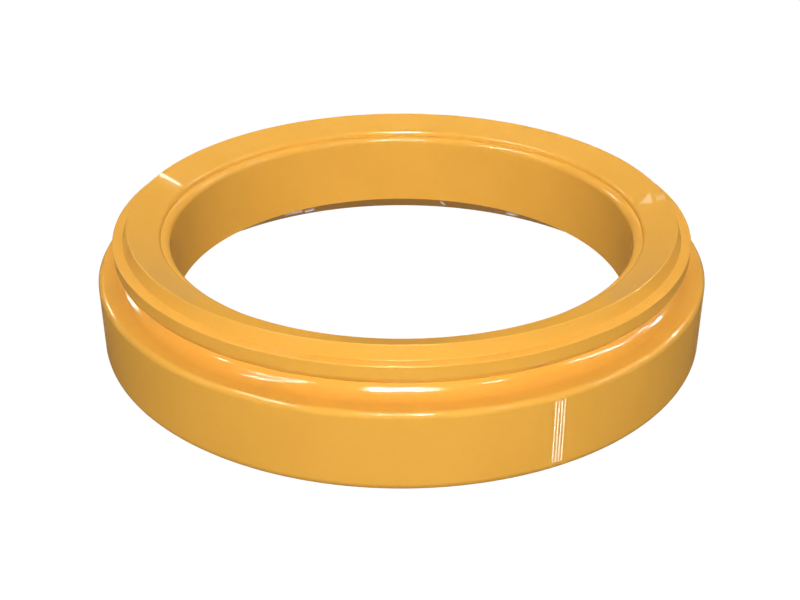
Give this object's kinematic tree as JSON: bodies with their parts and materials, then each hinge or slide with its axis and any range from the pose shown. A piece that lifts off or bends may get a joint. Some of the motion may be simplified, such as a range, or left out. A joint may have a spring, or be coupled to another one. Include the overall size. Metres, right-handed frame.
{
  "type": "track link seal",
  "caption": "Moulded polyurethane ring with a raised sealing lip, flex groove and plain outer wall; seals a track link's pin joint against dirt.",
  "frame": {"origin": "centre of the foot plane, on the ring's axis", "axes": "+Z along the ring's axis, from the foot to the sealing lip; X and Y are free, as the ring is round"},
  "size_m": [0.088, 0.088, 0.0182],
  "materials": {
    "polyurethane": "smooth glossy amber, as moulded"
  },
  "bodies": {
    "root": {"seal_ring": "polyurethane"}
  },
  "joints": []
}
